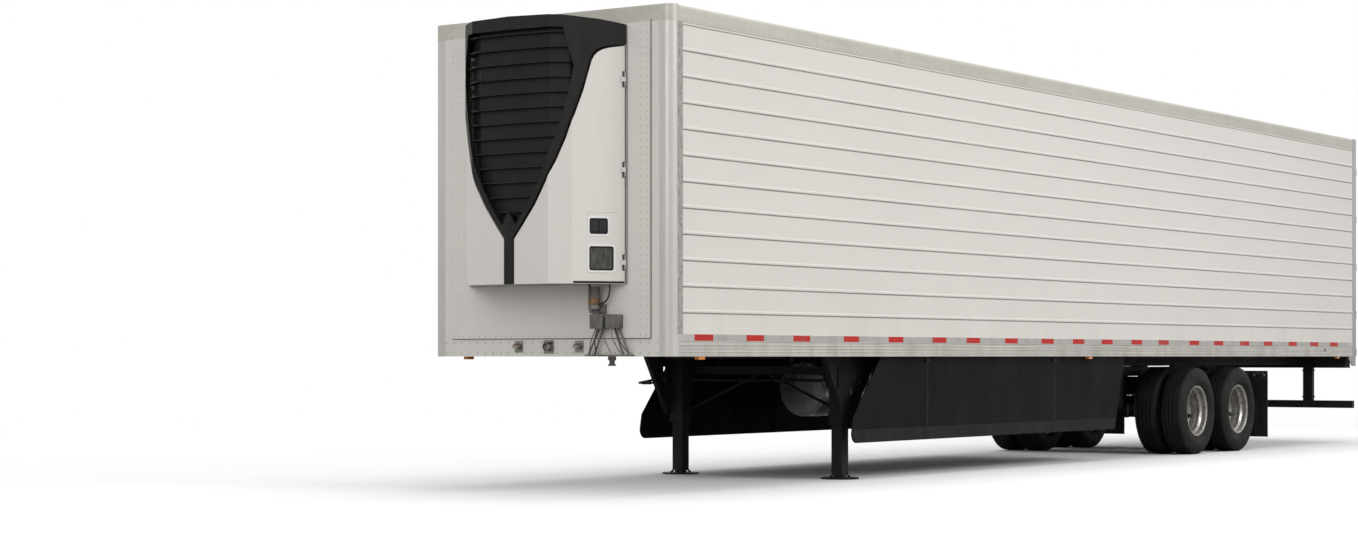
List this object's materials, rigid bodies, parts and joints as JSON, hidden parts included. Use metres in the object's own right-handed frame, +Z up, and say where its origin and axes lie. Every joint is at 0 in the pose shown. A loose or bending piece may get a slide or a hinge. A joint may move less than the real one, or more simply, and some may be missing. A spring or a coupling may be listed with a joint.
{
  "type": "refrigerated van semi trailer",
  "caption": "Long white insulated van semi trailer on a sliding tandem, with a nose-mounted refrigeration unit, side skirts, swinging rear doors and landing legs.",
  "frame": {"origin": "on the ground, at the middle of the overall length and width", "axes": "+Z up, -Y towards the nose and the kingpin, +X towards the trailer's left side"},
  "size_m": [2.591, 16.774, 4.115],
  "materials": {
    "white_panel": "gloss",
    "rail_aluminium": "satin",
    "floor_aluminium": "satin",
    "galvanised": "satin",
    "chassis_black": "satin",
    "kingpin_steel": "satin",
    "skirt_black": "matte",
    "black_rubber": "matte",
    "amber_lens": "gloss",
    "red_lens": "gloss",
    "white_plastic": "matte",
    "unit_white": "gloss",
    "unit_steel": "satin",
    "unit_black": "matte",
    "engine_iron": "matte",
    "fitting_grey": "satin",
    "tank_aluminium": "satin",
    "tyre": "matte",
    "wheel_steel": "satin"
  },
  "bodies": {
    "trailer": {"cargo_floor": "floor_aluminium", "cross_members": "chassis_black", "coupler_plate": "chassis_black", "kingpin": "kingpin_steel", "front_wall": "white_panel", "corner_posts": "white_panel", "side_wall_left": "white_panel", "side_wall_right": "white_panel", "top_rails": "rail_aluminium", "roof": "white_panel", "bottom_rails": "rail_aluminium", "rear_frame": "galvanised", "slide_rails": "chassis_black", "landing_legs": "chassis_black", "landing_braces": "chassis_black", "skirt_left": "skirt_black", "skirt_right": "skirt_black", "rear_guard": "chassis_black", "dock_bumpers": "black_rubber", "marker_lamps": "amber_lens", "rear_lamps": "red_lens", "air_bulkhead": "white_plastic", "unit_frame": "unit_steel", "unit_cap": "unit_black", "unit_grille": "unit_black", "engine_block": "engine_iron", "unit_fittings": "fitting_grey", "fuel_tank": "tank_aluminium"},
    "rear_door_left": {"door_left": "white_panel", "door_left_locks": "galvanised"},
    "rear_door_right": {"door_right": "white_panel", "door_right_locks": "galvanised"},
    "unit_service_door_left": {"unit_door_left": "unit_white"},
    "unit_service_door_right": {"unit_door_right": "unit_white"},
    "tandem": {"tandem_frame": "chassis_black", "trailing_arms": "chassis_black", "air_springs": "black_rubber", "axle_front": "chassis_black", "axle_rear": "chassis_black", "air_tank": "chassis_black", "mud_flaps": "black_rubber"},
    "dual_wheels_front_left": {"tyres_front_left": "tyre", "wheels_front_left": "wheel_steel"},
    "dual_wheels_front_right": {"tyres_front_right": "tyre", "wheels_front_right": "wheel_steel"},
    "dual_wheels_rear_left": {"tyres_rear_left": "tyre", "wheels_rear_left": "wheel_steel"},
    "dual_wheels_rear_right": {"tyres_rear_right": "tyre", "wheels_rear_right": "wheel_steel"}
  },
  "joints": [
    {"name": "rear_door_left_hinge", "type": "hinge", "parent": "trailer", "child": "rear_door_left", "pos_m": [1.2835, 8.351, 2.7], "axis": [0, 0, -1], "range_deg": [0, 260]},
    {"name": "rear_door_right_hinge", "type": "hinge", "parent": "trailer", "child": "rear_door_right", "pos_m": [-1.2835, 8.351, 2.7], "axis": [0, 0, 1], "range_deg": [0, 260]},
    {"name": "unit_door_left_hinge", "type": "hinge", "parent": "trailer", "child": "unit_service_door_left", "pos_m": [0.847, -7.876, 2.8], "axis": [0, 0, 1], "range_deg": [0, 110]},
    {"name": "unit_door_right_hinge", "type": "hinge", "parent": "trailer", "child": "unit_service_door_right", "pos_m": [-0.847, -7.876, 2.8], "axis": [0, 0, -1], "range_deg": [0, 110]},
    {"name": "tandem_slide", "type": "slide", "parent": "trailer", "child": "tandem", "axis": [0, 1, 0], "range_m": [-0.61, 2.44]},
    {"name": "dual_wheels_front_left_spin", "type": "hinge", "parent": "tandem", "child": "dual_wheels_front_left", "pos_m": [0.984, 3.0505, 0.515], "axis": [1, 0, 0], "continuous": true},
    {"name": "dual_wheels_front_right_spin", "type": "hinge", "parent": "tandem", "child": "dual_wheels_front_right", "pos_m": [-0.984, 3.0505, 0.515], "axis": [1, 0, 0], "continuous": true},
    {"name": "dual_wheels_rear_left_spin", "type": "hinge", "parent": "tandem", "child": "dual_wheels_rear_left", "pos_m": [0.984, 4.2955, 0.515], "axis": [1, 0, 0], "continuous": true},
    {"name": "dual_wheels_rear_right_spin", "type": "hinge", "parent": "tandem", "child": "dual_wheels_rear_right", "pos_m": [-0.984, 4.2955, 0.515], "axis": [1, 0, 0], "continuous": true}
  ]
}
